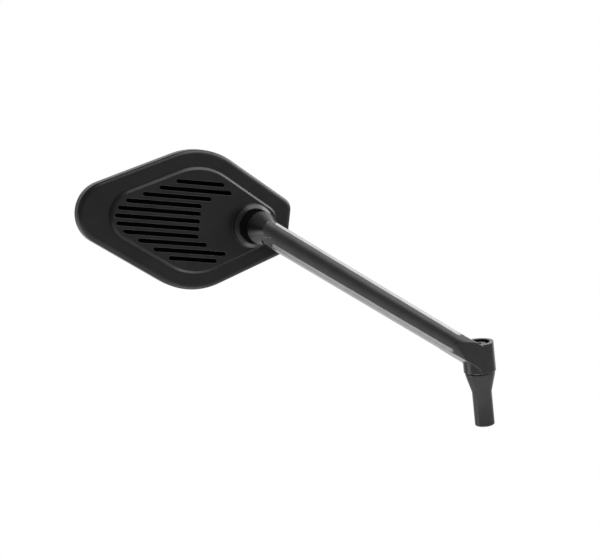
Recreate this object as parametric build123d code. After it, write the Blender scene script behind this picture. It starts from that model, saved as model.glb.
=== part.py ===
from build123d import *
import math
import os

os.makedirs("parts", exist_ok=True)

# All lengths are in millimetres. The origin is the centre of the stem's bottom face and +Z runs up the stem.
# The arm lies in the plane y = 0 and leads to -X. The back of the head faces -Y and its glass faces +Y.

# Stem
STEM_D = 13.5
STEM_FLANGE_D = 20.4
STEM_STRAIGHT_H = 23.5
STEM_H = 37.5
STEM_EDGE = 0.6
FLANGE_BAND_H = 1.6
SMALL_EDGE = 0.4
STEM_THREAD_BORE_D = 6.65
STEM_THREAD_DEPTH = 17.0
SPIGOT_D = 12.0
SPIGOT_H = 8.0

# Swivel between stem and arm
SWIVEL_CLEARANCE = 0.05
FRICTION_WASHER_D = 18.0
FRICTION_WASHER_T = 0.5
EYE_D = 22.0
EYE_H = 20.0
EYE_WEB = 5.0
SPIGOT_END_GAP = 0.3
COUNTERBORE_D = 17.0
SCREW_D = 8.0
SCREW_L = 25.0
SCREW_HEAD_D = 13.0
SCREW_HEAD_H = 5.0
SCREW_HEX_AF = 5.0
SCREW_HEX_DEPTH = 2.5
SCREW_HOLE_CLEARANCE = 0.3
SCREW_END_GAP = 1.0
SCREW_EDGE = 0.6
THREAD_CLEARANCE = 0.02
DISC_SPRING_D = 15.0
DISC_SPRING_T = 0.7
DISC_SPRING_RISE = 0.3
DISC_SPRING_CLEARANCE = 0.1

# Arm
ARM_REACH = 145.0
HEAD_Z = 161.0
ARM_EYE_DROP = 1.3
ARM_HEAD_DROP = 1.25
ARM_EYE_H = 14.1
ARM_HEAD_H = 15.0
ARM_HEAD_T = 16.6
ARM_CROWN_R = 16.0
ARM_CROWN_SET = 0.3
ARM_CROWN_START = 26.0
ARM_CROWN_RUNOUT_R = 110.0
ARM_CROWN_RUNOUT_DEG = 30.0
ARM_CHAMFER = 3.2
ARM_CHAMFER_TOP_START = 19.5
ARM_CHAMFER_LOW_START = 27.5
ARM_RUNOUT_R = 12.0
ARM_RUNOUT_DEG = 50.0
GUSSET_START = 8.0
GUSSET_END = 5.0
KNUCKLE_R = 10.4
KNUCKLE_RIM_Y = 4.5
KNUCKLE_CONE_DEG = 24.0
KNUCKLE_CONE_H = 13.5
KNUCKLE_FACE_Y = 5.5
NOSE_START = 11.0
NOSE_GIRTH_R = 10.0

# Ball stud
BALL_R = 4.5
NECK_D = 4.4
STUD_HEX_AF = 8.0
STUD_HEX_T = 3.0
STUD_THREAD_D = 6.0
STUD_THREAD_L = 8.0
STUD_HOLE_GAP = 1.5

# Socket in the head
COLLAR_FRONT_Y = 15.0
BALL_CLEARANCE = 0.05
LINER_T = 0.6
LINER_OPEN_DEG = 46.0
SEAT_R = 12.0
SEAT_CLEARANCE = 0.05
SEAT_FLOOR_T = 0.6
SEAT_RING_RISE = 3.4
SEAT_SPLIT = 0.2
SPRING_T = 0.5
SPRING_INNER_D = 12.0
SPRING_CLEARANCE = 0.6
RETAINER_T = 1.0
RETAINER_BORE_D = 8.0
PIN_HOLE_D = 2.0
PIN_HOLE_PITCH_D = 16.0

# Head outline, seen from the back with the collar's axis at the origin and the long axis along U
HEAD_H = 89.0
INNER_END_H = 31.85
INNER_REACH = 27.5
CENTRE_OFFSET = 0.5
OUTER_EDGE_DEG = 24.75
INNER_EDGE_DEG = 27.6
TIP_R = 20.4
SIDE_R = 44.0
CORNER_R = 8.0
LEAST_CORNER_R = 0.8
HEAD_TURN_DEG = 13.7

# Head shell
RIM_H = 9.0
BACK_EDGE_R = 3.0
FRONT_EDGE = 0.4
GLASS_EDGE = 0.3
BACK_WALL_T = 2.5
RIM_WALL_T = 2.2
LEDGE_W = 4.5
GLASS_T = 2.0
BOND_T = 0.4
GLASS_SET_BACK = 0.3
GLASS_CLEARANCE = 0.15
BOND_W = 3.5
PANEL_INSET = 10.6
PANEL_RISE = 2.5
PANEL_TIP_R = 16.6
PANEL_SIDE_R = 35.0
PANEL_CORNER_R = 10.0
PANEL_CHAMFER = 1.5
PANEL_WALL_T = 2.5
COLLAR_WALL_T = 1.85
COLLAR_LIP = 1.0
COLLAR_RISE = 4.0
COLLAR_FOOT_R = 0.6
COLLAR_BEVEL_W = 2.25
COLLAR_BEVEL_H = 2.0
SOCKET_WALL_T = 3.0

# Slots: the rows on each side of the collar's axis are alike, so a row is its outer and inner end,
# as shares of the reach from the collar's axis to the tip. The pitch is a share of the head's height.
SLOT_W = 2.8
SLOT_PITCH_SHARE = 0.0545
SLOT_ROWS = [
    (0.805, 0.317),
    (0.793, 0.316),
    (0.751, 0.316),
    (0.661, 0.264),
    (0.569, 0.148),
    (0.476, 0.196),
]

# Heights along the stem
EYE_Z = STEM_H + FRICTION_WASHER_T
EYE_TOP_Z = EYE_Z + EYE_H
SPIGOT_TOP_Z = STEM_H + SPIGOT_H
EYE_FLOOR_Z = SPIGOT_TOP_Z + SPIGOT_END_GAP + EYE_WEB
SCREW_SEAT_Z = EYE_FLOOR_Z + DISC_SPRING_T + DISC_SPRING_RISE
SCREW_END_Z = SCREW_SEAT_Z - SCREW_L
ARM_EYE_Z = EYE_Z + EYE_H / 2 - ARM_EYE_DROP
ARM_HEAD_Z = HEAD_Z - ARM_HEAD_DROP
ARM_SLOPE = (ARM_HEAD_Z - ARM_EYE_Z) / ARM_REACH

# Corners of the head's outline before they are rounded
OUTER_EDGE = math.radians(OUTER_EDGE_DEG)
INNER_EDGE = math.radians(INNER_EDGE_DEG)
SIDE_V = HEAD_H / 2 + SIDE_R * (1 / math.cos((OUTER_EDGE + INNER_EDGE) / 2) - 1)
SIDE_U = INNER_REACH - (SIDE_V - INNER_END_H / 2) / math.tan(INNER_EDGE)
TIP_U = SIDE_U - SIDE_V / math.tan(OUTER_EDGE)
FOOT_U = SIDE_U + SIDE_V / math.tan(INNER_EDGE)
OUTER_REACH = -TIP_U - TIP_R * (1 / math.sin(OUTER_EDGE) - 1)
SLOT_PITCH = HEAD_H * SLOT_PITCH_SHARE

# Depths in the head, along the collar's axis from the plate's back face, outward positive
COLLAR_TOP_W = PANEL_RISE + COLLAR_RISE
LEDGE_W0 = -RIM_H + GLASS_SET_BACK + GLASS_T + BOND_T
RETAINER_W = LEDGE_W0 + BOND_T / 2
SPRING_W = RETAINER_W + RETAINER_T
CUP_W = SPRING_W + SPRING_T
LINER_IN_R = BALL_R + BALL_CLEARANCE
LINER_OUT_R = LINER_IN_R + LINER_T
SEAT_IN_R = LINER_OUT_R + BALL_CLEARANCE
BALL_W = CUP_W + SEAT_FLOOR_T + SEAT_IN_R
LIP_W = BALL_W + SEAT_RING_RISE
BALL_Y = COLLAR_FRONT_Y + COLLAR_TOP_W - BALL_W
PLATE_Y = COLLAR_FRONT_Y + COLLAR_TOP_W

# The head's own frame: X along its long axis, Z out of its back
TURN = math.radians(HEAD_TURN_DEG)
HEAD_PLANE = Plane(
    origin=(-ARM_REACH, PLATE_Y, HEAD_Z),
    x_dir=(math.cos(TURN), 0, -math.sin(TURN)),
    z_dir=(0, -1, 0),
)


def ring(outer_r, inner_r, z0, z1):
    """A plain ring about Z between two heights."""
    outer = Pos(0, 0, (z0 + z1) / 2) * Cylinder(outer_r, z1 - z0)
    return outer - Pos(0, 0, (z0 + z1) / 2) * Cylinder(inner_r, 2 * (z1 - z0))


def rod(r, z0, z1):
    """A plain rod about Z between two heights."""
    return Pos(0, 0, (z0 + z1) / 2) * Cylinder(r, z1 - z0)


def turned(points):
    """A solid turned about Z from a profile of (radius, height) points."""
    profile = make_face(Polyline(*[(r, 0, z) for r, z in points], close=True))
    return revolve(profile, Axis.Z)


def kite(inset, tip_r, side_r, corner_r):
    """The head's outline moved inward, with its own corner radii."""
    left_u = TIP_U + inset / math.sin(OUTER_EDGE)
    right_u = FOOT_U - inset / math.sin(INNER_EDGE)
    outer = math.tan(OUTER_EDGE)
    inner = math.tan(INNER_EDGE)
    top_u = (left_u * outer + right_u * inner) / (outer + inner)
    top_v = (top_u - left_u) * outer
    end_u = INNER_REACH - inset
    end_v = (right_u - end_u) * inner
    points = [(left_u, 0), (top_u, -top_v), (end_u, -end_v), (end_u, end_v), (top_u, top_v)]
    face = make_face(Polyline(*points, close=True))
    for point, radius in zip(points, (tip_r, side_r, corner_r, corner_r, side_r)):
        face = fillet(face.vertices().sort_by_distance((*point, 0))[0], radius)
    return Pos(0, CENTRE_OFFSET, 0) * face


def slab(face, w0, w1):
    """A flat outline given thickness between two depths."""
    return Pos(0, 0, w0) * extrude(face, w1 - w0)


def outline(inset):
    """The head's outline moved inward by one distance all round."""
    return kite(inset, TIP_R - inset, SIDE_R - inset, max(CORNER_R - inset, LEAST_CORNER_R))


# Stem with its spigot, the screw's threaded hole above and the mount's threaded hole below
def make_stem():
    body = turned(
        [
            (0, 0),
            (STEM_D / 2 - STEM_EDGE, 0),
            (STEM_D / 2, STEM_EDGE),
            (STEM_D / 2, STEM_STRAIGHT_H),
            (STEM_FLANGE_D / 2, STEM_H - FLANGE_BAND_H),
            (STEM_FLANGE_D / 2, STEM_H - SMALL_EDGE),
            (STEM_FLANGE_D / 2 - SMALL_EDGE, STEM_H),
            (SPIGOT_D / 2, STEM_H),
            (SPIGOT_D / 2, SPIGOT_TOP_Z - SMALL_EDGE),
            (SPIGOT_D / 2 - SMALL_EDGE, SPIGOT_TOP_Z),
            (0, SPIGOT_TOP_Z),
        ]
    )
    body -= rod(STEM_THREAD_BORE_D / 2, 0, STEM_THREAD_DEPTH)
    return body - rod(SCREW_D / 2 + THREAD_CLEARANCE, SCREW_END_Z - SCREW_END_GAP, SPIGOT_TOP_Z)


def make_friction_washer():
    return ring(FRICTION_WASHER_D / 2, SPIGOT_D / 2 + SWIVEL_CLEARANCE, STEM_H, EYE_Z)


def make_disc_spring():
    inner_r = SCREW_D / 2 + DISC_SPRING_CLEARANCE
    low = EYE_FLOOR_Z
    high = EYE_FLOOR_Z + DISC_SPRING_RISE
    return turned(
        [
            (DISC_SPRING_D / 2, low),
            (DISC_SPRING_D / 2, low + DISC_SPRING_T),
            (inner_r, high + DISC_SPRING_T),
            (inner_r, high),
        ]
    )


# Socket-head cap screw that clamps the eye to the stem
def make_clamp_screw():
    top = SCREW_SEAT_Z + SCREW_HEAD_H
    screw = turned(
        [
            (0, SCREW_END_Z),
            (SCREW_D / 2 - SCREW_EDGE, SCREW_END_Z),
            (SCREW_D / 2, SCREW_END_Z + SCREW_EDGE),
            (SCREW_D / 2, SCREW_SEAT_Z),
            (SCREW_HEAD_D / 2, SCREW_SEAT_Z),
            (SCREW_HEAD_D / 2, top - SCREW_EDGE),
            (SCREW_HEAD_D / 2 - SCREW_EDGE, top),
            (0, top),
        ]
    )
    hexagon = RegularPolygon(SCREW_HEX_AF / 2, 6, major_radius=False)
    return screw - Pos(0, 0, top - SCREW_HEX_DEPTH) * extrude(hexagon, SCREW_HEX_DEPTH + 1)


def arm_line(x, side):
    """Height of the arm's top edge (side 1) or bottom edge (side -1) at a distance along -X."""
    tilt = math.cos(math.atan(ARM_SLOPE))
    share = -x / ARM_REACH
    half = (ARM_EYE_H + (ARM_HEAD_H - ARM_EYE_H) * share) / 2 / tilt
    return ARM_EYE_Z - x * ARM_SLOPE + side * half


def arm_half_width(x):
    """Half the arm's thickness across its plane."""
    share = -x / ARM_REACH
    return EYE_D / 2 + (ARM_HEAD_T / 2 - EYE_D / 2) * share


def crown_line(x, across):
    """Point on the middle line of the crown on one side of the bar."""
    return Vector(x, across * (arm_half_width(x) - ARM_CROWN_SET), ARM_EYE_Z - x * ARM_SLOPE)


# Round stock that crowns one long side of the bar and swings clear of its flat side near the eye
def make_crown(across):
    start = crown_line(-ARM_CROWN_START, across)
    end = crown_line(-ARM_REACH - 2 * KNUCKLE_R, across)
    along = (end - start).normalized()
    inward = Vector(0, -across, 0)
    inward = (inward - along * inward.dot(along)).normalized()
    plane = Plane(origin=start + inward * ARM_CROWN_R, x_dir=along, z_dir=along.cross(inward))
    reach = (end - start).length
    straight = Line((reach, 0), (0, 0))
    swing = CenterArc((0, -ARM_CROWN_RUNOUT_R), ARM_CROWN_RUNOUT_R, 90, ARM_CROWN_RUNOUT_DEG)
    section = Plane(origin=(reach, 0, 0), z_dir=(-1, 0, 0)) * Circle(ARM_CROWN_R)
    return plane.location * sweep(section, Wire([straight.edge(), swing.edge()]))


# Block between the bar's two flat sides, which taper from the eye to the end of the knuckle
def make_flanks():
    far = -ARM_REACH - 2 * KNUCKLE_R
    plan = Polyline(
        (0, -arm_half_width(0)),
        (0, arm_half_width(0)),
        (far, arm_half_width(far)),
        (far, -arm_half_width(far)),
        close=True,
    )
    return extrude(make_face(plan), 2 * HEAD_Z)


# Straight bar of the arm before its edges are taken off, with the gusset under it at the eye
def make_bar():
    lean = ARM_HEAD_H / 2 * math.sin(math.atan(ARM_SLOPE))
    far_top = -ARM_REACH - NOSE_GIRTH_R * math.cos(math.atan(ARM_SLOPE))
    far = far_top - 2 * lean
    under = -GUSSET_START
    edge = Polyline(
        (under, 0, arm_line(under, -1)),
        (far, 0, arm_line(far, -1)),
        (far_top, 0, arm_line(far_top, 1)),
        (0, 0, arm_line(0, 1)),
        (0, 0, EYE_Z),
        (-GUSSET_END, 0, EYE_Z),
    )
    run = Vector(-far, 0, arm_line(0, -1) - arm_line(far, -1))
    gusset = TangentArc((under, 0, arm_line(under, -1)), (-GUSSET_END, 0, EYE_Z), tangent=run)
    side = make_face([*edge.edges(), gusset])
    bar = extrude(side, EYE_D, both=True, dir=(0, 1, 0)) & make_flanks()
    return bar & make_crown(-1) & make_crown(1)


# Cutter that takes off one long edge of the bar and runs out of it in an arc near the eye
def make_edge_cutter(across, side):
    near = -(ARM_CHAMFER_TOP_START if side > 0 else ARM_CHAMFER_LOW_START)
    far = -ARM_REACH
    start = Vector(near, across * arm_half_width(near), arm_line(near, side))
    end = Vector(far, across * arm_half_width(far), arm_line(far, side))
    along = (end - start).normalized()
    upward = Vector(along.Z, 0, -along.X).normalized()
    outward = Vector(0, across, 0) + upward * side
    outward = (outward - along * outward.dot(along)).normalized()
    plane = Plane(origin=start, x_dir=along, z_dir=along.cross(outward))
    depth = ARM_CHAMFER / math.sqrt(2)
    rise = ARM_RUNOUT_R * (1 - math.cos(math.radians(ARM_RUNOUT_DEG)))
    back = ARM_RUNOUT_R * math.sin(math.radians(ARM_RUNOUT_DEG))
    reach = (end - start).length + 3 * KNUCKLE_R
    flat = Line((0, -depth), (reach, -depth))
    runout = RadiusArc((-back, rise - depth), (0, -depth), -ARM_RUNOUT_R)
    rest = Polyline((reach, -depth), (reach, rise), (-back, rise), (-back, rise - depth))
    shape = make_face([flat, runout, *rest.edges()])
    return extrude(plane * shape, 3 * ARM_CHAMFER, both=True)


# Cutter that rounds the bar's end: all that lies outside a nose along the bar, whose arc runs out on the cone
def make_nose_cutter():
    steep = 1 / math.tan(math.radians(KNUCKLE_CONE_DEG))
    rise = steep * (KNUCKLE_R + NOSE_START) - KNUCKLE_RIM_Y - NOSE_GIRTH_R
    arc_r = rise / (math.sqrt(1 + steep**2) - 1)
    turn = math.acos(1 - NOSE_GIRTH_R / arc_r)
    centre = Vector(NOSE_GIRTH_R - arc_r, 0, -NOSE_START)
    start = centre + Vector(arc_r, 0, 0)
    middle = centre + Vector(math.cos(turn / 2), 0, math.sin(turn / 2)) * arc_r
    tip = Vector(0, 0, arc_r * math.sin(turn) - NOSE_START)
    sides = Polyline(tip, (0, 0, -NOSE_START), start)
    nose = revolve(make_face([ThreePointArc(start, middle, tip), *sides.edges()]), Axis.Z)
    lift = math.atan(ARM_SLOPE)
    place = Plane(
        origin=(-ARM_REACH, 0, HEAD_Z),
        x_dir=(0, 1, 0),
        z_dir=(-math.cos(lift), 0, math.sin(lift)),
    )
    return place.location * (rod(2 * NOSE_GIRTH_R, -NOSE_START, 2 * KNUCKLE_R) - nose)


# Knuckle: a cone about the stud's axis, its top cut off flush with the bar's crowned side
def make_knuckle():
    top_y = KNUCKLE_RIM_Y - KNUCKLE_CONE_H
    top_r = KNUCKLE_R - KNUCKLE_CONE_H * math.tan(math.radians(KNUCKLE_CONE_DEG))
    rim = [(KNUCKLE_R, KNUCKLE_RIM_Y), (KNUCKLE_R, KNUCKLE_FACE_Y), (0, KNUCKLE_FACE_Y)]
    return stud_frame(turned([(0, top_y), (top_r, top_y), *rim])) & make_crown(-1)


# Arm: eye, bar and knuckle in one piece
def make_arm():
    bar = make_bar() - make_nose_cutter()
    for across in (-1, 1):
        for side in (-1, 1):
            bar -= make_edge_cutter(across, side)
    arm = bar + rod(EYE_D / 2, EYE_Z, EYE_TOP_Z) + make_knuckle()
    arm -= rod(SPIGOT_D / 2 + SWIVEL_CLEARANCE, EYE_Z, SPIGOT_TOP_Z + SPIGOT_END_GAP)
    arm -= rod(SCREW_D / 2 + SCREW_HOLE_CLEARANCE, EYE_Z, EYE_FLOOR_Z)
    arm -= rod(COUNTERBORE_D / 2, EYE_FLOOR_Z, HEAD_Z)
    spot = rod(KNUCKLE_R, KNUCKLE_FACE_Y, KNUCKLE_FACE_Y + KNUCKLE_R)
    hole_end = KNUCKLE_FACE_Y - STUD_THREAD_L - STUD_HOLE_GAP
    hole = rod(STUD_THREAD_D / 2 + THREAD_CLEARANCE, hole_end, KNUCKLE_FACE_Y)
    return arm - stud_frame(spot) - stud_frame(hole)


def stud_frame(shape):
    """Turn a shape made about Z so that its Z runs along +Y through the knuckle."""
    return Plane(origin=(-ARM_REACH, 0, HEAD_Z), x_dir=(1, 0, 0), z_dir=(0, 1, 0)).location * shape


# Ball stud: threaded shank in the knuckle, hexagon, neck and ball
def make_ball_stud():
    hex_end = KNUCKLE_FACE_Y + STUD_HEX_T
    shank_end = KNUCKLE_FACE_Y - STUD_THREAD_L
    shank = turned(
        [
            (0, shank_end),
            (STUD_THREAD_D / 2 - SCREW_EDGE, shank_end),
            (STUD_THREAD_D / 2, shank_end + SCREW_EDGE),
            (STUD_THREAD_D / 2, KNUCKLE_FACE_Y),
            (0, KNUCKLE_FACE_Y),
        ]
    )
    hexagon = slab(RegularPolygon(STUD_HEX_AF / 2, 6, major_radius=False), KNUCKLE_FACE_Y, hex_end)
    neck = rod(NECK_D / 2, hex_end, BALL_Y)
    ball = Pos(0, 0, BALL_Y) * Sphere(BALL_R)
    return stud_frame(shank + hexagon + neck + ball)


# Liner around the ball, open toward the neck
def make_ball_liner():
    shell = Pos(0, 0, BALL_W) * (Sphere(LINER_OUT_R) - Sphere(LINER_IN_R))
    reach = 2 * LINER_OUT_R
    mouth = Cone(0, reach * math.tan(math.radians(LINER_OPEN_DEG)), reach)
    return shell - Pos(0, 0, BALL_W + reach / 2) * mouth


# Seat halves: the ring bears on the collar's lip and the cup is pressed up by the spring
def make_seat_ring():
    outer_r = SEAT_R - SEAT_CLEARANCE
    body = rod(outer_r, BALL_W + SEAT_SPLIT / 2, LIP_W)
    return body - Pos(0, 0, BALL_W) * Sphere(SEAT_IN_R)


def make_seat_cup():
    outer_r = SEAT_R - SEAT_CLEARANCE
    body = rod(outer_r, CUP_W, BALL_W - SEAT_SPLIT / 2)
    return body - Pos(0, 0, BALL_W) * Sphere(SEAT_IN_R)


def make_seat_spring():
    return ring(SEAT_R - SPRING_CLEARANCE, SPRING_INNER_D / 2, SPRING_W, CUP_W)


# Threaded ring that closes the socket, with two holes for a pin spanner
def make_seat_retainer():
    body = ring(SEAT_R - THREAD_CLEARANCE, RETAINER_BORE_D / 2, RETAINER_W, SPRING_W)
    for x in (-PIN_HOLE_PITCH_D / 2, PIN_HOLE_PITCH_D / 2):
        body -= Pos(x, 0, 0) * rod(PIN_HOLE_D / 2, RETAINER_W - 1, SPRING_W + 1)
    return body


# Collar with a bevelled rim and a rounded foot on the panel
def make_collar():
    r = SEAT_R + COLLAR_WALL_T
    foot = r + COLLAR_FOOT_R
    edge = Polyline(
        (foot, 0, PANEL_RISE),
        (foot, 0, 0),
        (0, 0, 0),
        (0, 0, COLLAR_TOP_W),
        (r - COLLAR_BEVEL_W, 0, COLLAR_TOP_W),
        (r, 0, COLLAR_TOP_W - COLLAR_BEVEL_H),
        (r, 0, PANEL_RISE + COLLAR_FOOT_R),
    )
    foot_plane = Plane(origin=(foot, 0, PANEL_RISE + COLLAR_FOOT_R), x_dir=(1, 0, 0), z_dir=(0, -1, 0))
    foot_curve = foot_plane.location * CenterArc((0, 0), COLLAR_FOOT_R, 180, 90)
    return revolve(make_face([*edge.edges(), *foot_curve.edges()]), Axis.Z)


# Head shell: plate, raised panel, collar, hollow inside and slots through the panel
def make_head_shell():
    plate = slab(outline(0), -RIM_H, 0)
    plate = fillet(plate.faces().sort_by(Axis.Z)[-1].edges(), BACK_EDGE_R)
    plate = chamfer(plate.faces().sort_by(Axis.Z)[0].edges(), FRONT_EDGE)
    panel = slab(kite(PANEL_INSET, PANEL_TIP_R, PANEL_SIDE_R, PANEL_CORNER_R), 0, PANEL_RISE)
    panel = chamfer(panel.faces().sort_by(Axis.Z)[-1].edges(), PANEL_CHAMFER)
    pocket = slab(outline(RIM_WALL_T + LEDGE_W), LEDGE_W0, -BACK_WALL_T)
    tip_r = PANEL_TIP_R - PANEL_WALL_T
    side_r = PANEL_SIDE_R - PANEL_WALL_T
    hollow = kite(PANEL_INSET + PANEL_WALL_T, tip_r, side_r, PANEL_CORNER_R)
    deep = slab(hollow, LEDGE_W0, PANEL_RISE - PANEL_WALL_T)
    recess = slab(outline(RIM_WALL_T), -RIM_H, LEDGE_W0)
    boss = rod(SEAT_R + SOCKET_WALL_T, LEDGE_W0, 0)
    shell = plate + panel - pocket - deep - recess + boss + make_collar()
    for row, (outer_share, inner_share) in enumerate(SLOT_ROWS):
        middle_u = -OUTER_REACH * (outer_share + inner_share) / 2
        slot = SlotOverall(OUTER_REACH * (outer_share - inner_share), SLOT_W)
        for v in {row * SLOT_PITCH, -row * SLOT_PITCH}:
            shell -= Pos(middle_u, v, -RIM_H) * extrude(slot, RIM_H + 2 * PANEL_RISE)
    shell -= rod(SEAT_R, LEDGE_W0 - 1, LIP_W)
    return shell - rod(SEAT_R - COLLAR_LIP, LIP_W - 1, COLLAR_TOP_W + 1)


# Adhesive frame on the ledge and the glass on it
def make_glass_bond():
    edge = RIM_WALL_T + GLASS_CLEARANCE
    outer = slab(outline(edge), LEDGE_W0 - BOND_T, LEDGE_W0)
    return outer - slab(outline(edge + BOND_W), LEDGE_W0 - 2 * BOND_T, LEDGE_W0 + BOND_T)


def make_mirror_glass():
    face = LEDGE_W0 - BOND_T
    glass = slab(outline(RIM_WALL_T + GLASS_CLEARANCE), face - GLASS_T, face)
    return chamfer(glass.faces().sort_by(Axis.Z)[0].edges(), GLASS_EDGE)


def in_head(shape):
    """Move a shape from the head's own frame to its place."""
    return HEAD_PLANE.location * shape


PARTS = {
    "stem": make_stem(),
    "friction_washer": make_friction_washer(),
    "disc_spring": make_disc_spring(),
    "clamp_screw": make_clamp_screw(),
    "arm": make_arm(),
    "ball_stud": make_ball_stud(),
    "ball_liner": in_head(make_ball_liner()),
    "seat_ring": in_head(make_seat_ring()),
    "seat_cup": in_head(make_seat_cup()),
    "seat_spring": in_head(make_seat_spring()),
    "seat_retainer": in_head(make_seat_retainer()),
    "head_shell": in_head(make_head_shell()),
    "glass_bond": in_head(make_glass_bond()),
    "mirror_glass": in_head(make_mirror_glass()),
}

for name, shape in PARTS.items():
    export_step(shape, f"parts/{name}.step")
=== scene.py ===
"""Looks of a motorcycle handlebar mirror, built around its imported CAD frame.

Sizes of the pieces and of their finishes are in millimetres and are turned to metres where a mesh or a node is
made. The studio is laid out in metres. The CAD nodes keep their shapes. Four of them are stood for by finer
pieces: the stem with its tapped foot, the clamp screw, the ball stud and the wave spring behind the ball seat.
"""

import logging
import math
from dataclasses import dataclass, field
from enum import Enum

import bpy
import numpy as np
from mathutils import Matrix, Vector

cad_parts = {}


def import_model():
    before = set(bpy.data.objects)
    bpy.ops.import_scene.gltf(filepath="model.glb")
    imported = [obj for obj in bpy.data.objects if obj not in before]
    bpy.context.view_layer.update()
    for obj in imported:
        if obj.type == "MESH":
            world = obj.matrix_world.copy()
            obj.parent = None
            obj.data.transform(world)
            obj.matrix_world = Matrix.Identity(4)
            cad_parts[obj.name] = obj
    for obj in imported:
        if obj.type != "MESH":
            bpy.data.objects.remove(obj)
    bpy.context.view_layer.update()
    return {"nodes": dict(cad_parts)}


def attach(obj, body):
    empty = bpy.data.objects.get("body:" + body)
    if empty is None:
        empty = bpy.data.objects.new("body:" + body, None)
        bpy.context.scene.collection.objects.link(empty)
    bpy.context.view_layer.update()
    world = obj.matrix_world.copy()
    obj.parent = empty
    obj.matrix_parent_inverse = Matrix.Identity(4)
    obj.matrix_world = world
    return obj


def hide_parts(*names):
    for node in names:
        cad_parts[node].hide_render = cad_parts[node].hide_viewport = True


LOG = logging.getLogger("mirror")
MM = 0.001
TAU = 2.0 * math.pi

# Sockets of a colour Mix node, whose names repeat, and the two values of a plain one
MIX_FACTOR, MIX_A, MIX_B, MIX_RESULT = 0, 6, 7, 2
MIX_LOW, MIX_HIGH = 2, 3

# Most of a noise's values lie between these two
NOISE_LOW, NOISE_HIGH = 0.3, 0.7

# Cosine between the softened and the true normal at which an edge takes its full lighter colour, which is partly
# wear and partly a painted highlight
EDGE_WEAR_AND_HIGHLIGHT_COSINE = 0.9
BEVEL_SAMPLES = 8

# Shares of a thread's pitch that are empty and full
THREAD_EMPTY, THREAD_FULL = 0.25, 0.125

WHITE = "#ffffff"


class Body(Enum):
    """The parts that move as one."""

    STEM = "stem"
    ARM = "arm"
    HEAD = "head"


class Slot(Enum):
    """The record's material slots for the new pieces. Nothing in the script gives them to a piece."""

    ARM = "anodised_arm"
    DARK_STEEL = "dark_steel"
    BRIGHT_STEEL = "bright_steel"


# ---------------------------------------------------------------------------------------------- nodes and colours


def linear(colour: str) -> tuple[float, float, float, float]:
    """Turns an sRGB hex colour to linear light.

    Args:
        colour: Colour as "#rrggbb".

    Returns:
        Linear red, green, blue and a full alpha.
    """
    srgb = np.array([int(colour[i : i + 2], 16) for i in (1, 3, 5)]) / 255.0
    light = np.where(srgb <= 0.04045, srgb / 12.92, ((srgb + 0.055) / 1.055) ** 2.4)
    return (*light.tolist(), 1.0)


def add_node(
    tree: bpy.types.NodeTree, kind: str, inputs: dict[str | int, object] | None = None, **settings: object
) -> bpy.types.Node:
    """Adds one shader node, sets its properties, and fills or links its inputs.

    Args:
        tree: Node tree that takes the node.
        kind: Blender's type name without its ShaderNode prefix.
        inputs: Socket name or number, each with a value or the output that feeds it.
        settings: Properties of the node by name.

    Returns:
        The new node.
    """
    node = tree.nodes.new("ShaderNode" + kind)
    for name, value in settings.items():
        setattr(node, name, value)
    for key, value in (inputs or {}).items():
        if isinstance(value, bpy.types.NodeSocket):
            tree.links.new(value, node.inputs[key])
        else:
            node.inputs[key].default_value = value
    return node


# -------------------------------------------------------------------------------------------------------- finishes


@dataclass(frozen=True)
class Finish:
    """A named surface finish that can make its own material."""

    name: str

    def shade(self, tree: bpy.types.NodeTree) -> bpy.types.NodeSocket:
        """Builds the nodes and returns the shader's output."""
        raise NotImplementedError

    def make(self) -> bpy.types.Material:
        """Makes the material, or finds the one made before.

        Returns:
            The material.
        """
        material = bpy.data.materials.get(self.name)
        if material is None:
            material = bpy.data.materials.new(self.name)
            material.use_nodes = True
            tree = material.node_tree
            tree.nodes.clear()
            add_node(tree, "OutputMaterial", {"Surface": self.shade(tree)})
        return material


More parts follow.
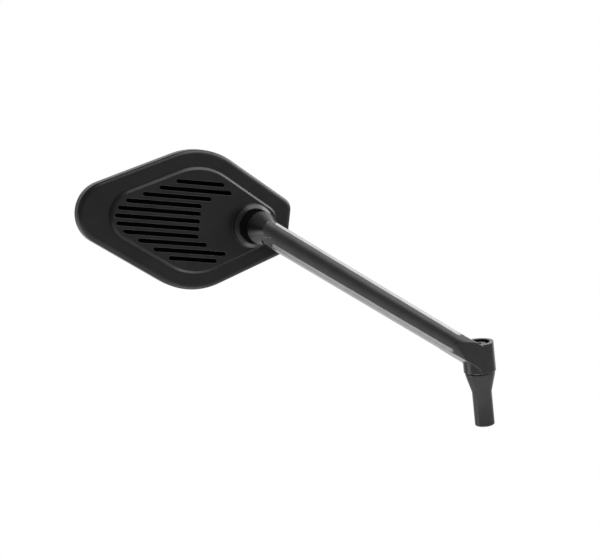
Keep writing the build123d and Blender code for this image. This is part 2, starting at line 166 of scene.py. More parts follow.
@dataclass(frozen=True)
class WorkedMetal(Finish):
    """A metal face with the marks of its making.

    Two noises carry it. The fine one is the grit or the cutter's lines, stretched to grain_mm along its own
    axes, and drives the roughness and a shallow bump. The broad one is the cloudiness of dye or oxide and
    drives the colour. The shading normal is softened within edge_mm of an edge, as a tumbled edge is, and the
    colour is lighter there: partly wear, where the coat is thin, and partly a painted highlight along the edge.
    """

    dark: str
    light: str
    # Lighter colour of the edges: partly wear where the coat is thin, partly a painted highlight
    edge_wear_and_highlight: str
    roughness: tuple[float, float]
    grain_mm: tuple[float, float, float]
    cloud_mm: float
    relief_mm: float
    edge_mm: float
    turn_deg: tuple[float, float, float] = (0.0, 0.0, 0.0)
    # Greatest share of the edges' lighter colour: partly wear, partly a painted highlight
    edge_wear_and_highlight_share: float = 0.5
    grain_detail: float = 3.0
    cloud_detail: float = 2.0

    def shade(self, tree: bpy.types.NodeTree) -> bpy.types.NodeSocket:
        """Builds the nodes of this finish.

        Args:
            tree: Node tree of the material.

        Returns:
            The shader's output.
        """
        place = add_node(tree, "TexCoord").outputs["Object"]
        turn = [math.radians(v) for v in self.turn_deg]
        grain_size = [v * MM for v in self.grain_mm]
        cloud_size = [self.cloud_mm * MM] * 3
        grain_at = add_node(
            tree, "Mapping", {"Vector": place, "Rotation": turn, "Scale": grain_size}, vector_type="TEXTURE"
        )
        cloud_at = add_node(tree, "Mapping", {"Vector": place, "Scale": cloud_size}, vector_type="TEXTURE")
        fine = {"Vector": grain_at.outputs[0], "Scale": 1.0, "Detail": self.grain_detail}
        broad = {"Vector": cloud_at.outputs[0], "Scale": 1.0, "Detail": self.cloud_detail}
        grain = add_node(tree, "TexNoise", fine)
        cloud = add_node(tree, "TexNoise", broad)
        soft = add_node(tree, "Bevel", {"Radius": self.edge_mm * MM}, samples=BEVEL_SAMPLES)
        true = add_node(tree, "NewGeometry").outputs["Normal"]
        facing = add_node(tree, "VectorMath", {0: soft.outputs[0], 1: true}, operation="DOT_PRODUCT")
        # Mask of the edges, where the colour turns lighter: partly wear, partly a painted highlight
        edge_wear_and_highlight = add_node(
            tree,
            "MapRange",
            {
                "Value": facing.outputs["Value"],
                "From Min": 1.0,
                "From Max": EDGE_WEAR_AND_HIGHLIGHT_COSINE,
                "To Min": 0.0,
                "To Max": self.edge_wear_and_highlight_share,
            },
        )
        cloudiness = {"Value": cloud.outputs["Fac"], "From Min": NOISE_LOW, "From Max": NOISE_HIGH}
        spread = add_node(tree, "MapRange", cloudiness)
        flat = add_node(
            tree,
            "Mix",
            {MIX_FACTOR: spread.outputs[0], MIX_A: linear(self.dark), MIX_B: linear(self.light)},
            data_type="RGBA",
        )
        colour = add_node(
            tree,
            "Mix",
            {MIX_FACTOR: edge_wear_and_highlight.outputs[0], MIX_A: flat.outputs[MIX_RESULT], MIX_B: linear(self.edge_wear_and_highlight)},
            data_type="RGBA",
        )
        roughness = add_node(
            tree,
            "MapRange",
            {
                "Value": grain.outputs["Fac"],
                "From Min": NOISE_LOW,
                "From Max": NOISE_HIGH,
                "To Min": self.roughness[0],
                "To Max": self.roughness[1],
            },
        )
        bump = add_node(
            tree,
            "Bump",
            {
                "Strength": 1.0,
                "Distance": self.relief_mm * MM,
                "Height": grain.outputs["Fac"],
                "Normal": soft.outputs[0],
            },
        )
        shader = add_node(
            tree,
            "BsdfPrincipled",
            {
                "Base Color": colour.outputs[MIX_RESULT],
                "Metallic": 1.0,
                "Roughness": roughness.outputs[0],
                "Normal": bump.outputs[0],
            },
        )
        return shader.outputs[0]


@dataclass(frozen=True)
class MouldedAcetal(Finish):
    """Black acetal: a dense, slightly waxy plastic with the faint texture of its mould."""

    dark: str = "#161616"
    light: str = "#1f1f1f"
    shine: float = 0.5
    ior: float = 1.48
    roughness: tuple[float, float] = (0.3, 0.5)
    texture_mm: float = 0.5
    texture_detail: float = 2.0
    relief_mm: float = 0.004

    def shade(self, tree: bpy.types.NodeTree) -> bpy.types.NodeSocket:
        """Builds the nodes of this finish.

        Args:
            tree: Node tree of the material.

        Returns:
            The shader's output.
        """
        place = add_node(tree, "TexCoord").outputs["Object"]
        size = [self.texture_mm * MM] * 3
        at = add_node(tree, "Mapping", {"Vector": place, "Scale": size}, vector_type="TEXTURE")
        mould = add_node(tree, "TexNoise", {"Vector": at.outputs[0], "Scale": 1.0, "Detail": self.texture_detail})
        colour = add_node(
            tree,
            "Mix",
            {MIX_FACTOR: mould.outputs["Fac"], MIX_A: linear(self.dark), MIX_B: linear(self.light)},
            data_type="RGBA",
        )
        smooth, dull = self.roughness
        roughness = add_node(tree, "MapRange", {"Value": mould.outputs["Fac"], "To Min": smooth, "To Max": dull})
        bump = add_node(tree, "Bump", {"Distance": self.relief_mm * MM, "Height": mould.outputs["Fac"]})
        shader = add_node(
            tree,
            "BsdfPrincipled",
            {
                "Base Color": colour.outputs[MIX_RESULT],
                "IOR": self.ior,
                "Specular IOR Level": self.shine,
                "Roughness": roughness.outputs[0],
                "Normal": bump.outputs[0],
            },
        )
        return shader.outputs[0]


@dataclass(frozen=True)
class FoamTape(Finish):
    """Black acrylic foam tape: matt, with the pits of its open cells on the cut edge."""

    dark: str = "#121212"
    light: str = "#242424"
    roughness: float = 0.9
    cell_mm: float = 0.3
    relief_mm: float = 0.08

    def shade(self, tree: bpy.types.NodeTree) -> bpy.types.NodeSocket:
        """Builds the nodes of this finish.

        Args:
            tree: Node tree of the material.

        Returns:
            The shader's output.
        """
        place = add_node(tree, "TexCoord").outputs["Object"]
        size = [self.cell_mm * MM] * 3
        at = add_node(tree, "Mapping", {"Vector": place, "Scale": size}, vector_type="TEXTURE")
        cells = add_node(tree, "TexVoronoi", {"Vector": at.outputs[0], "Scale": 1.0})
        colour = add_node(
            tree,
            "Mix",
            {MIX_FACTOR: cells.outputs["Distance"], MIX_A: linear(self.dark), MIX_B: linear(self.light)},
            data_type="RGBA",
        )
        bump = add_node(tree, "Bump", {"Distance": self.relief_mm * MM, "Height": cells.outputs["Distance"]})
        shader = add_node(
            tree,
            "BsdfPrincipled",
            {"Base Color": colour.outputs[MIX_RESULT], "Roughness": self.roughness, "Normal": bump.outputs[0]},
        )
        return shader.outputs[0]


@dataclass(frozen=True)
class SilveredGlass(Finish):
    """Flat mirror glass: a clean reflecting face, a ground edge with a cast of green, and a painted back.

    The three are told apart by depth: the face is above face_y_mm, the paint below paint_y_mm, and what lies
    between is the ground edge. A broad faint haze lies on the face as wiped glass has.
    """

    face_y_mm: float
    paint_y_mm: float
    silver: str = "#eef1f1"
    edge: str = "#5f7a70"
    paint: str = "#0b0b0c"
    face_roughness: tuple[float, float] = (0.008, 0.03)
    matt_roughness: tuple[float, float] = (0.8, 0.95)
    shine: float = 0.12
    haze_mm: float = 14.0
    haze_detail: float = 4.0

    def shade(self, tree: bpy.types.NodeTree) -> bpy.types.NodeSocket:
        """Builds the nodes of this finish.

        Args:
            tree: Node tree of the material.

        Returns:
            The shader's output.
        """
        place = add_node(tree, "TexCoord").outputs["Object"]
        depth = add_node(tree, "SeparateXYZ", {"Vector": place}).outputs["Y"]
        face = add_node(tree, "Math", {0: depth, 1: self.face_y_mm * MM}, operation="GREATER_THAN")
        back = add_node(tree, "Math", {0: depth, 1: self.paint_y_mm * MM}, operation="LESS_THAN")
        size = [self.haze_mm * MM] * 3
        at = add_node(tree, "Mapping", {"Vector": place, "Scale": size}, vector_type="TEXTURE")
        haze = add_node(tree, "TexNoise", {"Vector": at.outputs[0], "Scale": 1.0, "Detail": self.haze_detail})
        sheen, matt = (
            add_node(tree, "MapRange", {"Value": haze.outputs["Fac"], "To Min": low, "To Max": high})
            for low, high in (self.face_roughness, self.matt_roughness)
        )
        by_depth = {MIX_FACTOR: face.outputs[0], MIX_LOW: matt.outputs[0], MIX_HIGH: sheen.outputs[0]}
        roughness = add_node(tree, "Mix", by_depth)
        rest = add_node(
            tree,
            "Mix",
            {MIX_FACTOR: back.outputs[0], MIX_A: linear(self.edge), MIX_B: linear(self.paint)},
            data_type="RGBA",
        )
        colour = add_node(
            tree,
            "Mix",
            {MIX_FACTOR: face.outputs[0], MIX_A: rest.outputs[MIX_RESULT], MIX_B: linear(self.silver)},
            data_type="RGBA",
        )
        shader = add_node(
            tree,
            "BsdfPrincipled",
            {
                "Base Color": colour.outputs[MIX_RESULT],
                "Metallic": face.outputs[0],
                "Specular IOR Level": self.shine,
                "Roughness": roughness.outputs[0],
            },
        )
        return shader.outputs[0]


@dataclass(frozen=True)
class PaleFloor(Finish):
    """Pale matt floor paint that runs out to plain white at its rim, so that the floor has no edge to the eye.

    The run is a smooth step in the distance from the middle, between the two distances of fade, in metres.
    """

    colour: str
    middle: tuple[float, float, float]
    fade: tuple[float, float]

    def shade(self, tree: bpy.types.NodeTree) -> bpy.types.NodeSocket:
        """Builds the nodes of this finish.

        Args:
            tree: Node tree of the material.

        Returns:
            The shader's output.
        """
        place = add_node(tree, "TexCoord").outputs["Object"]
        away = add_node(tree, "VectorMath", {0: place, 1: self.middle}, operation="DISTANCE")
        rim = add_node(
            tree,
            "MapRange",
            {"Value": away.outputs["Value"], "From Min": self.fade[0], "From Max": self.fade[1]},
            interpolation_type="SMOOTHSTEP",
        )
        paint = add_node(tree, "BsdfDiffuse", {"Color": linear(self.colour)})
        white = add_node(tree, "Emission", {"Color": linear(WHITE), "Strength": 1.0})
        mixed = add_node(tree, "MixShader", {0: rim.outputs[0], 1: paint.outputs[0], 2: white.outputs[0]})
        return mixed.outputs[0]


# The bar's climb, along which its cutter lines run
ARM_SLOPE_DEG = 37.94

# In each worked metal below, the third colour is that of the edges: partly wear, partly a painted highlight
# Black anodised aluminium, milled along the bar and then tumbled: a dark satin that holds a soft image of the
# lamps. Real cutter lines are under 0.1 mm apart and are drawn coarser, so that a trace of them shows.
MILLED_ARM = WorkedMetal(
    name="black_anodised_milled",
    dark="#4d4d4e",
    light="#535354",
    edge_wear_and_highlight="#6a6a6b",
    roughness=(0.22, 0.28),
    grain_mm=(18.0, 0.5, 0.5),
    cloud_mm=9.0,
    relief_mm=0.002,
    edge_mm=0.6,
    turn_deg=(0.0, ARM_SLOPE_DEG, 0.0),
)

# The same coat on the turned stem, where the lines run round it.
TURNED_STEM = WorkedMetal(
    name="black_anodised_turned",
    dark="#4b4b4c",
    light="#515152",
    edge_wear_and_highlight="#666667",
    roughness=(0.26, 0.33),
    grain_mm=(30.0, 30.0, 0.45),
    cloud_mm=9.0,
    relief_mm=0.002,
    edge_mm=0.4,
)

# Black anodised over fine bead blasting: a matt, slightly grainy black with broad soft highlights. The real
# dimples are about 0.1 mm and are drawn four times as large to show.
BLASTED_HEAD = WorkedMetal(
    name="black_anodised_blasted",
    dark="#3a3a3b",
    light="#404041",
    edge_wear_and_highlight="#4c4c4d",
    roughness=(0.33, 0.42),
    grain_mm=(0.4, 0.4, 0.4),
    cloud_mm=14.0,
    relief_mm=0.006,
    edge_mm=0.4,
)

# Black oxide on steel: thin, a little blotchy, with the gloss of the oil it was dipped in.
BLACK_OXIDE = WorkedMetal(
    name="black_oxide_steel",
    dark="#57575a",
    light="#656463",
    edge_wear_and_highlight="#7c7b79",
    roughness=(0.26, 0.36),
    grain_mm=(0.4, 0.4, 0.4),
    cloud_mm=2.5,
    relief_mm=0.003,
    edge_mm=0.15,
)

# Steel turned and lightly oiled: grey, with rings of the tool about the stud's axis.
TURNED_STEEL = WorkedMetal(
    name="turned_steel",
    dark="#8d8d8f",
    light="#9a9a9b",
    edge_wear_and_highlight="#b5b5b5",
    roughness=(0.18, 0.26),
    grain_mm=(12.0, 0.35, 12.0),
    cloud_mm=5.0,
    relief_mm=0.002,
    edge_mm=0.15,
)

# Plain aluminium from the lathe, tumbled after: pale, with a fine even grain on its faces.
TURNED_ALUMINIUM = WorkedMetal(
    name="turned_aluminium",
    dark="#c3c4c6",
    light="#cfd0d1",
    edge_wear_and_highlight="#dcdcdc",
    roughness=(0.24, 0.34),
    grain_mm=(0.5, 6.0, 0.5),
    cloud_mm=5.0,
    relief_mm=0.003,
    edge_mm=0.15,
)

# Black acetal from the mould: a deep black with a low waxy sheen.
ACETAL = MouldedAcetal(name="black_acetal")

# The same plastic in the ball seat, darker and with nearly no sheen: painted shade, so that the shallow bore reads
# as black as a deep shaded one.
PAINTED_SHADE_ACETAL = MouldedAcetal(name="black_acetal_painted_shade", dark="#0b0b0b", light="#101010", shine=0.15)

# Foam tape: a dead matt black line round the glass.
TAPE = FoamTape(name="black_foam_tape")


# --------------------------------------------------------------------------------------------- surfaces and pieces


def grid_quads(rows: int, n: int, closed: bool = False) -> np.ndarray:
    """Four-sided faces of a grid whose columns run round and close.

    A face joins a column and the next one in a row with the same two columns in the row after.

    Args:
        rows: Rows of points.
        n: Columns of points.
        closed: Whether the last row joins the first one.

    Returns:
        Point numbers, one face a row.
    """
    column = np.arange(n)
    after = (column + 1) % n
    index = np.arange(rows if closed else rows - 1)[:, None]
    row = index * n
    below = (index + 1) % rows * n
    return np.stack([row + column, row + after, below + after, below + column], axis=-1).reshape(-1, 4)


def turned_grid(radius: np.ndarray, height: np.ndarray) -> tuple[np.ndarray, np.ndarray, np.ndarray]:
    """Surface turned about Z from pole to pole.

    The point in row i and column j lies at angle 2 pi j / n, at radius[i, j] from the axis and at height[i, j].
    A pole closes each end at the mean height of the end row. Faces point outwards if the profile climbs on the
    outside of the piece.

    Args:
        radius: Rows by columns of distances from the axis.
        height: Rows by columns of heights.

    Returns:
        Points, four-sided faces and the three-sided faces round the poles.
    """
    rows, n = radius.shape
    angle = TAU * np.arange(n) / n
    ring = np.stack([radius * np.cos(angle), radius * np.sin(angle), height], axis=-1).reshape(-1, 3)
    poles = np.array([[0.0, 0.0, height[0].mean()], [0.0, 0.0, height[-1].mean()]])
    column = np.arange(n)
    after = (column + 1) % n
    first, last = rows * n, rows * n + 1
    top = (rows - 1) * n
    tris = np.concatenate(
        [
            np.stack([np.full(n, first), after, column], axis=-1),
            np.stack([np.full(n, last), top + column, top + after], axis=-1),
        ]
    )
    return np.concatenate([ring, poles]), grid_quads(rows, n), tris


def spread_rows(profile: list[tuple[float, float]], n: int) -> tuple[np.ndarray, np.ndarray]:
    """Turns a profile of (radius, height) points into plain round rows of n columns."""
    points = np.array(profile, float)
    return np.repeat(points[:, :1], n, axis=1), np.repeat(points[:, 1:], n, axis=1)


def thread_wave(angle: np.ndarray, height: np.ndarray, pitch: float) -> np.ndarray:
    """Share of a thread's full depth at each point of a cylinder.

    The phase is height over pitch less the share of a turn, so that the wave climbs one pitch a turn. Within a
    pitch it is a trapezium: an eighth of the pitch full, a quarter of it empty, straight flanks between.

    Args:
        angle: Angle about the axis, in radians.
        height: Height along the axis.
        pitch: Climb in one turn.

    Returns:
        0 at the thread's empty flat to 1 at its full one.
    """
    phase = np.mod(height / pitch - angle / TAU, 1.0)
    slope = np.abs(2.0 * phase - 1.0)
    return np.clip((slope - THREAD_EMPTY) / (1.0 - THREAD_FULL - THREAD_EMPTY), 0.0, 1.0)


def hexagon_radius(angle: np.ndarray, across_flats: float) -> np.ndarray:
    """Distance to a hexagon's side: half its width over the cosine of the angle from the side's middle."""
    from_middle = np.mod(angle, TAU / 6.0) - TAU / 12.0
    return across_flats / 2.0 / np.cos(from_middle)


def mesh_piece(
    name: str, points_mm: np.ndarray, faces: list[np.ndarray], sharp_deg: float = 35.0
) -> bpy.types.Object:
    """Makes an object at the origin from points in millimetres.

    Args:
        name: Name of the piece.
        points_mm: Points in the shared frame.
        faces: Arrays of point numbers, one face a row.
        sharp_deg: Edges that turn by more than this are shaded sharp.

    Returns:
        The new object, linked to the scene.
    """
    mesh = bpy.data.meshes.new(name)
    mesh.from_pydata((points_mm * MM).tolist(), [], [f for group in faces for f in group.tolist()])
    mesh.shade_smooth()
    mesh.set_sharp_from_angle(angle=math.radians(sharp_deg))
    mesh.update()
    piece = bpy.data.objects.new(name, mesh)
    bpy.context.scene.collection.objects.link(piece)
    return piece


def settle(piece: bpy.types.Object, body: Body, finish: Finish, stands_for: str) -> None:
    """Gives a new piece its finish, its body and the CAD node that it stands for.

    Args:
        piece: The new piece.
        body: Body that carries it.
        finish: Its finish.
        stands_for: CAD node that it replaces.
    """
    piece.data.materials.append(finish.make())
    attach(piece, body.value)
    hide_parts(stands_for)
    LOG.info("%s: %d faces, stands for %s", piece.name, len(piece.data.polygons), stands_for)


def dress(node: bpy.types.Object, finish: Finish) -> None:
    """Puts a finish on a CAD node in place of its plain one.

    Args:
        node: The CAD node's object.
        finish: Its finish.
    """
    node.data.materials.clear()
    node.data.materials.append(finish.make())
    LOG.info("%s: %s", node.name, finish.name)


# --------------------------------------------------------------------------------------------------- sub-assemblies


@dataclass
class SwivelPost:
    """Stem, friction washer, disc spring and clamp screw, all about the Z axis."""

    nodes: dict[str, bpy.types.Object]
    columns: int = 96
    stem_r: float = 6.75
    stem_edge: float = 0.6
    straight_h: float = 23.5
    flange_r: float = 10.2
    flange_band_h: float = 1.6
    stem_h: float = 37.5
    small_edge: float = 0.4
    spigot_r: float = 6.0
    spigot_top: float = 45.5
    foot_bore_r: float = 3.325
    foot_depth: float = 17.0
    foot_drill_tip: float = 1.9
    foot_tip_r: float = 0.3
    foot_tip_drop: float = 0.17
    foot_mouth_r: float = 4.2
    foot_pitch: float = 1.25
    foot_thread_h: float = 0.677
    screw_bore_r: float = 4.02
    screw_bore_end: float = 25.8
    screw_r: float = 4.0
    screw_end: float = 26.8
    screw_seat: float = 51.8
    screw_top: float = 56.8
    screw_head_r: float = 6.5
    screw_edge: float = 0.6
    screw_pitch: float = 1.25
    screw_thread_h: float = 0.677
    screw_columns: int = 160
    knurls: int = 40
    knurl_h: float = 0.16
    plain_band_h: float = 0.5
    knurl_start: float = 0.7
    knurl_gap: float = 0.15
    hex_across: float = 5.0
    hex_depth: float = 2.5
    hex_mouth_r: float = 3.0
    hex_mouth_h: float = 0.3
    hex_drill_share: float = 0.2
    hex_drill_h: float = 0.5
    rows_per_pitch: int = 14

    def tapped_foot(self) -> tuple[np.ndarray, np.ndarray]:
        """Rows of the stem's tapped hole, from the drill's tip down to the mouth.

        The radius is the bore's plus the thread wave, which fades out over the last two pitches of depth, and
        never less than the cone of the countersunk mouth.

        Returns:
            Radius and height grids.
        """
        angle = TAU * np.arange(self.columns) / self.columns
        full = self.foot_depth - self.foot_drill_tip
        count = int(full / self.foot_pitch * self.rows_per_pitch)
        height = np.linspace(full, 0.0, count)[:, None] * np.ones(self.columns)
        fade = np.clip((full - height) / (2.0 * self.foot_pitch), 0.0, 1.0)
        wave = thread_wave(angle, height, self.foot_pitch) * self.foot_thread_h * fade
        mouth = self.foot_mouth_r - height
        return np.maximum(self.foot_bore_r + wave, mouth), height

    def build_stem(self) -> None:
        """Builds the turned stem with its tapped foot, and puts it in place of the plain one.

        One profile is turned about Z: from the drill's tip down the tapped hole, up the outside to the spigot's
        top, and down the screw's bore.
        """
        tip = spread_rows([(self.foot_tip_r, self.foot_depth - self.foot_tip_drop)], self.columns)
        foot = self.tapped_foot()
        outside = spread_rows(
            [
                (self.stem_r - self.stem_edge, 0.0),
                (self.stem_r, self.stem_edge),
                (self.stem_r, self.straight_h),
                (self.flange_r, self.stem_h - self.flange_band_h),
                (self.flange_r, self.stem_h - self.small_edge),
                (self.flange_r - self.small_edge, self.stem_h),
                (self.spigot_r, self.stem_h),
                (self.spigot_r, self.spigot_top - self.small_edge),
                (self.spigot_r - self.small_edge, self.spigot_top),
                (self.screw_bore_r, self.spigot_top),
                (self.screw_bore_r, self.screw_bore_end),
            ],
            self.columns,
        )
        radius, height = (np.concatenate(rows) for rows in zip(tip, foot, outside))
        points, quads, tris = turned_grid(radius, height)
        stem = mesh_piece("stem_turned", points, [quads, tris])
        settle(stem, Body.STEM, TURNED_STEM, "stem")

    def build_screw(self) -> None:
        """Builds the socket-head screw with its thread, knurled head and hexagon socket.

        The shank's radius is the thread's root plus the thread wave, which runs out to the full radius below the
        head, and the chamfer cuts its end. The head's side is a circle less a cosine of the knurl count times the
        angle. The socket's wall is a hexagon, and a cone opens its mouth.
        """
        n = self.screw_columns
        angle = TAU * np.arange(n) / n
        count = int((self.screw_seat - self.screw_end) / self.screw_pitch * self.rows_per_pitch)
        shank_h = np.linspace(self.screw_end, self.screw_seat, count)[:, None] * np.ones(n)
        root = self.screw_r - self.screw_thread_h
        fade = np.clip((self.screw_seat - shank_h) / self.screw_pitch - 1.0, 0.0, 1.0)
        wave = thread_wave(angle, shank_h, self.screw_pitch)
        crest = root + self.screw_thread_h * (1.0 - fade * (1.0 - wave))
        shank = np.minimum(crest, self.screw_r - self.screw_edge + (shank_h - self.screw_end)), shank_h
        knurl = self.screw_head_r - self.knurl_h * (0.5 - 0.5 * np.cos(self.knurls * angle))
        plain = np.full(n, self.screw_head_r - self.knurl_h)
        chamfer = np.full(n, self.screw_head_r - self.screw_edge)
        socket = hexagon_radius(angle, self.hex_across)
        mouth = np.full(n, self.hex_mouth_r)
        floor = self.screw_top - self.hex_depth
        head_rows = [
            (plain, self.screw_seat),
            (plain, self.screw_seat + self.plain_band_h),
            (knurl, self.screw_seat + self.knurl_start),
            (knurl, self.screw_top - self.screw_edge - self.knurl_gap),
            (plain, self.screw_top - self.screw_edge),
            (chamfer, self.screw_top),
            (mouth, self.screw_top),
            (socket, self.screw_top - self.hex_mouth_h),
            (socket, floor),
            (socket * self.hex_drill_share, floor - self.hex_drill_h),
        ]
        head = np.stack([r for r, _ in head_rows]), np.stack([np.full(n, h) for _, h in head_rows])
        radius, height = (np.concatenate(rows) for rows in zip(shank, head))
        points, quads, tris = turned_grid(radius, height)
        screw = mesh_piece("clamp_screw_socket_head", points, [quads, tris])
        settle(screw, Body.STEM, BLACK_OXIDE, "clamp_screw")

    def dress(self) -> None:
        """Dresses the CAD nodes that stay."""
        dress(self.nodes["friction_washer"], ACETAL)
        dress(self.nodes["disc_spring"], BLACK_OXIDE)


@dataclass
class ReachArm:
    """Arm and ball stud. The stud's axis runs along +Y through the knuckle's centre."""

    nodes: dict[str, bpy.types.Object]
    knuckle_centre: tuple[float, float, float] = (-145.0, 0.0, 161.0)
    columns: int = 96
    shank_end: float = -2.5
    face: float = 5.5
    shank_r: float = 3.0
    shank_edge: float = 0.6
    thread_h: float = 0.55
    pitch: float = 1.0
    rows_per_pitch: int = 14
    hex_across: float = 8.0
    hex_end: float = 8.5
    hex_rows: int = 13
    hex_face_inset: float = 0.1
    neck_r: float = 2.2
    neck_foot: float = 0.4
    ball_r: float = 4.5
    ball_at: float = 20.3
    ball_rows: int = 40

    def build_stud(self) -> None:
        """Builds the ball stud with its thread, chamfered hexagon, neck and ball.

        The shank's radius is the thread's root plus the thread wave, and the chamfer cuts its end. The hexagon's
        radius is the lesser of its sides and a 30 degree cone at either face. The ball's rows go from where the
        neck meets it to its far pole at equal angles.
        """
        n = self.columns
        angle = TAU * np.arange(n) / n
        count = int((self.face - self.shank_end) / self.pitch * self.rows_per_pitch)
        shank_h = np.linspace(self.shank_end, self.face, count)[:, None] * np.ones(n)
        root = self.shank_r - self.thread_h
        crest = root + self.thread_h * thread_wave(angle, shank_h, self.pitch)
        shank = np.minimum(crest, self.shank_r - self.shank_edge + (shank_h - self.shank_end)), shank_h
        side = hexagon_radius(angle, self.hex_across)
        rise = np.linspace(0.0, self.hex_end - self.face, self.hex_rows)[:, None]
        from_face = np.minimum(rise, self.hex_end - self.face - rise)
        cone = self.hex_across / 2.0 - self.hex_face_inset + from_face * math.sqrt(3.0)
        hexagon = np.minimum(side, cone), self.face + rise * np.ones(n)
        start = math.asin(self.neck_r / self.ball_r)
        fall = np.linspace(start, math.pi, self.ball_rows, endpoint=False)
        ball = self.ball_r * np.sin(fall), self.ball_at - self.ball_r * np.cos(fall)
        neck = [(self.neck_r + self.neck_foot, self.hex_end), (self.neck_r, self.hex_end + self.neck_foot)]
        tail = spread_rows(neck + list(zip(*ball)), n)
        radius, height = (np.concatenate(rows) for rows in zip(shank, hexagon, tail))
        points, quads, tris = turned_grid(radius, height)
        placed = np.stack([points[:, 0], points[:, 2], -points[:, 1]], axis=-1) + self.knuckle_centre
        stud = mesh_piece("ball_stud_turned", placed, [quads, tris])
        settle(stud, Body.ARM, TURNED_STEEL, "ball_stud")

    def dress(self) -> None:
        """Dresses the CAD nodes that stay."""
        dress(self.nodes["arm"], MILLED_ARM)


@dataclass
class MirrorHead:
    """Shell, ball seat, retainer, tape and glass. Depths run along +Y, from the back of the head to its glass."""

    nodes: dict[str, bpy.types.Object]
    centre: tuple[float, float, float] = (-145.0, 21.5, 161.0)
    spring_depth: tuple[float, float] = (4.6, 5.1)
    spring_r: tuple[float, float] = (6.0, 11.4)
    spring_t: float = 0.3
    spring_waves: int = 3
    spring_play: float = 0.02
    columns: int = 144
    glass_face: float = 30.2
    glass_back: float = 28.2
    glass_margin: float = 0.06

    def build_spring(self) -> None:
        """Builds the wave spring that presses the ball seat together.

        A flat strip's four-cornered section is carried round a circle, and its middle rises and falls as a sine
        of the wave count times the angle, nearly to the two faces that press on it.
        """
        angle = TAU * np.arange(self.columns) / self.columns
        low, high = self.spring_depth
        swing = (high - low - self.spring_t) / 2.0 - self.spring_play
        wave = swing * np.sin(self.spring_waves * angle)
        inner, outer = self.spring_r
        section = np.array([(outer, 0.5), (outer, -0.5), (inner, -0.5), (inner, 0.5)])
        radius = section[:, :1] * np.ones(self.columns)
        depth = (low + high) / 2.0 + wave + section[:, 1:] * self.spring_t
        points = np.stack([radius * np.cos(angle), depth, radius * np.sin(angle)], axis=-1).reshape(-1, 3)
        quads = grid_quads(len(section), self.columns, closed=True)
        spring = mesh_piece("seat_wave_spring", points + self.centre, [quads])
        settle(spring, Body.HEAD, BLACK_OXIDE, "seat_spring")

    def dress(self) -> None:
        """Dresses the CAD nodes that stay."""
        glass = SilveredGlass(
            name="silvered_glass",
            face_y_mm=self.glass_face - self.glass_margin,
            paint_y_mm=self.glass_back + self.glass_margin,
        )
        dress(self.nodes["head_shell"], BLASTED_HEAD)
        dress(self.nodes["mirror_glass"], glass)
        dress(self.nodes["glass_bond"], TAPE)
        dress(self.nodes["seat_retainer"], TURNED_ALUMINIUM)
        # The ball seat's parts take the darker acetal: painted shade in the bore
        for name in ("ball_liner", "seat_ring", "seat_cup"):
            dress(self.nodes[name], PAINTED_SHADE_ACETAL)


# ----------------------------------------------------------------------------------------------------------- studio


@dataclass(frozen=True)
class Softbox:
    """A rectangular lamp: where it hangs, where it points, its size in metres and how bright its face is."""

    name: str
    place: tuple[float, float, float]
    aim: tuple[float, float, float]
    size: tuple[float, float]
    brightness: float

    def hang(self) -> None:
        """Adds the lamp to the scene. A face of brightness 1 looks as bright as the white background."""
        light = bpy.data.lights.new(self.name, "AREA")
        light.shape = "RECTANGLE"
        light.size, light.size_y = self.size
        light.energy = self.brightness * math.pi * self.size[0] * self.size[1]
        lamp = bpy.data.objects.new(self.name, light)
        lamp.location = self.place
        lamp.rotation_euler = (Vector(self.aim) - Vector(self.place)).to_track_quat("-Z", "Y").to_euler()
        lamp.visible_camera = False
        bpy.context.scene.collection.objects.link(lamp)
        LOG.info("%s: brightness %.1f", self.name, self.brightness)


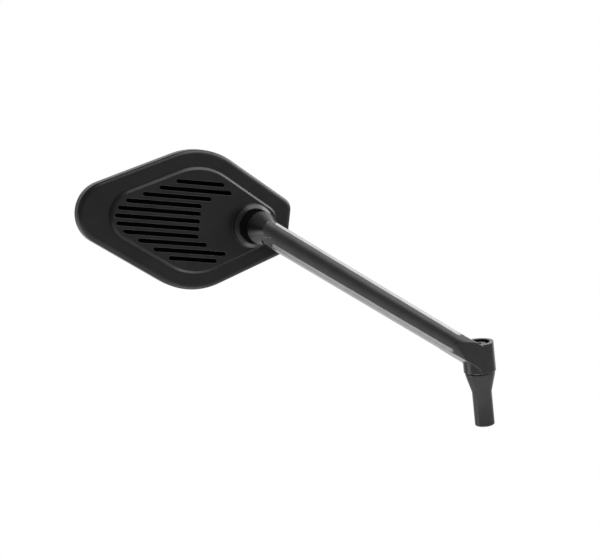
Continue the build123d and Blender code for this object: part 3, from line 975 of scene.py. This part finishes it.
@dataclass
class Studio:
    """Camera, white surroundings, pale floor and softboxes. Lengths here are in metres, apart from the sensor's."""

    azimuth_deg: float = -24.0
    elevation_deg: float = 10.95
    roll_deg: float = 6.52
    camera_place: tuple[float, float, float] = (-0.5589, -0.9745, 0.3305)
    lens_px: float = 1700.0
    frame_px: float = 600.0
    sensor_mm: float = 36.0
    back_towards: tuple[float, float, float] = (0.55, 0.83, 0.0)
    back_start: float = 0.45
    back_full: float = 0.9
    front_level: float = 0.28
    low_level: float = 0.95
    low_z: tuple[float, float] = (-0.12, -0.6)
    room_level: float = 0.22
    floor_middle: tuple[float, float, float] = (-0.11178, 0.0, -0.32)
    floor_r: float = 0.45
    floor_fade: tuple[float, float] = (0.6, 0.97)
    floor_columns: int = 96
    floor_rows: int = 12
    floor_colour: str = "#eeeeec"
    lamps: list[Softbox] = field(
        default_factory=lambda: [
            Softbox("softbox_top", (0.35, -0.19, 1.02), (-0.12, 0.0, 0.12), (0.9, 0.9), 2.9),
            Softbox("softbox_right", (0.92, 0.04, 0.56), (-0.08, 0.0, 0.11), (0.65, 0.60), 7.0),
            Softbox("reflector_right", (0.69, -0.62, 0.35), (-0.07, 0.0, 0.10), (0.60, 0.60), 1.7),
            Softbox("reflector_left", (-0.85, 0.36, -0.10), (0.0, 0.0, 0.03), (0.45, 0.45), 1.0),
            Softbox("light_table", (-0.16, -0.042, -0.30), (-0.16, -0.042, 0.11), (0.23, 0.13), 4.6),
        ]
    )

    def set_camera(self) -> None:
        """Puts the camera where the photograph was taken from.

        The line back to the camera comes from the azimuth and elevation, and the roll turns the frame about it.
        """
        a, e, r = (math.radians(v) for v in (self.azimuth_deg, self.elevation_deg, self.roll_deg))
        back = Vector((math.sin(a) * math.cos(e), -math.cos(a) * math.cos(e), math.sin(e)))
        level = Vector((math.cos(a), math.sin(a), 0.0))
        upright = back.cross(level)
        right = math.cos(r) * level - math.sin(r) * upright
        up = math.sin(r) * level + math.cos(r) * upright
        data = bpy.data.cameras.new("camera")
        data.sensor_width = self.sensor_mm
        data.lens = self.lens_px / self.frame_px * self.sensor_mm
        camera = bpy.data.objects.new("camera", data)
        turn = Matrix((right, up, back)).transposed().to_4x4()
        camera.matrix_world = Matrix.Translation(self.camera_place) @ turn
        bpy.context.scene.collection.objects.link(camera)
        bpy.context.scene.camera = camera

    def set_world(self) -> None:
        """Makes the surroundings: white to the eye, and in reflections a white back wall and a dim studio in front.

        The wall is told by how far a ray points to the back, and what lies well below eye level is one pale grey.
        """
        world = bpy.data.worlds.new("studio")
        world.use_nodes = True
        tree = world.node_tree
        tree.nodes.clear()
        path = add_node(tree, "LightPath")
        way = add_node(tree, "TexCoord").outputs["Generated"]
        wall = Vector(self.back_towards).normalized()
        towards = add_node(tree, "VectorMath", {0: way, 1: wall}, operation="DOT_PRODUCT")
        wall_level = add_node(
            tree,
            "MapRange",
            {
                "Value": towards.outputs["Value"],
                "From Min": self.back_start,
                "From Max": self.back_full,
                "To Min": self.front_level,
                "To Max": 1.0,
            },
            interpolation_type="SMOOTHSTEP",
        )
        upward = add_node(tree, "SeparateXYZ", {"Vector": way}).outputs["Z"]
        lowness = add_node(
            tree,
            "MapRange",
            {"Value": upward, "From Min": self.low_z[0], "From Max": self.low_z[1]},
            interpolation_type="SMOOTHSTEP",
        )
        shown = add_node(
            tree,
            "Mix",
            {MIX_FACTOR: lowness.outputs[0], MIX_LOW: wall_level.outputs[0], MIX_HIGH: self.low_level},
        )
        mirrored = add_node(
            tree,
            "Math",
            {0: path.outputs["Is Glossy Ray"], 1: path.outputs["Is Transmission Ray"]},
            operation="MAXIMUM",
        )
        inside = add_node(
            tree,
            "Mix",
            {MIX_FACTOR: mirrored.outputs[0], MIX_LOW: self.room_level, MIX_HIGH: shown.outputs[0]},
        )
        seen = path.outputs["Is Camera Ray"]
        level = add_node(tree, "Mix", {MIX_FACTOR: seen, MIX_LOW: inside.outputs[0], MIX_HIGH: 1.0})
        sky = add_node(tree, "Background", {"Color": linear(WHITE), "Strength": level.outputs[0]})
        add_node(tree, "OutputWorld", {"Surface": sky.outputs[0]})
        bpy.context.scene.world = world

    def lay_floor(self) -> None:
        """Lays a round pale floor below the object. It takes the shadow, and its rim runs into the white.

        Its rows are circles about the middle at equal steps of radius, and one point closes the middle.
        """
        n, rows = self.floor_columns, self.floor_rows
        angle = TAU * np.arange(n) / n
        radius = np.linspace(0.0, self.floor_r, rows + 1)[1:, None] * np.ones(n)
        flat = np.stack([radius * np.cos(angle), radius * np.sin(angle), np.zeros_like(radius)], axis=-1)
        points = np.concatenate([flat.reshape(-1, 3), np.zeros((1, 3))]) + self.floor_middle
        column = np.arange(n)
        tris = np.stack([np.full(n, rows * n), column, (column + 1) % n], axis=-1)
        facing_up = np.roll(grid_quads(rows, n)[:, ::-1], 1, axis=1)
        floor = mesh_piece("floor", points / MM, [facing_up, tris])
        start, end = self.floor_fade
        fade = (start * self.floor_r, end * self.floor_r)
        paint = PaleFloor(name="pale_floor", colour=self.floor_colour, middle=self.floor_middle, fade=fade)
        floor.data.materials.append(paint.make())

    def build(self) -> None:
        """Builds the whole studio."""
        self.set_camera()
        self.set_world()
        self.lay_floor()
        for lamp in self.lamps:
            lamp.hang()
        bpy.context.scene.view_settings.view_transform = "Standard"


def main() -> None:
    """Loads the frame, builds and dresses each sub-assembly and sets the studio."""
    logging.basicConfig(level=logging.INFO, format="%(name)s %(message)s")
    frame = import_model()
    nodes = frame["nodes"]
    post = SwivelPost(nodes)
    post.build_stem()
    post.build_screw()
    post.dress()
    arm = ReachArm(nodes)
    arm.build_stud()
    arm.dress()
    head = MirrorHead(nodes)
    head.build_spring()
    head.dress()
    Studio().build()


if __name__ == "__main__":
    main()
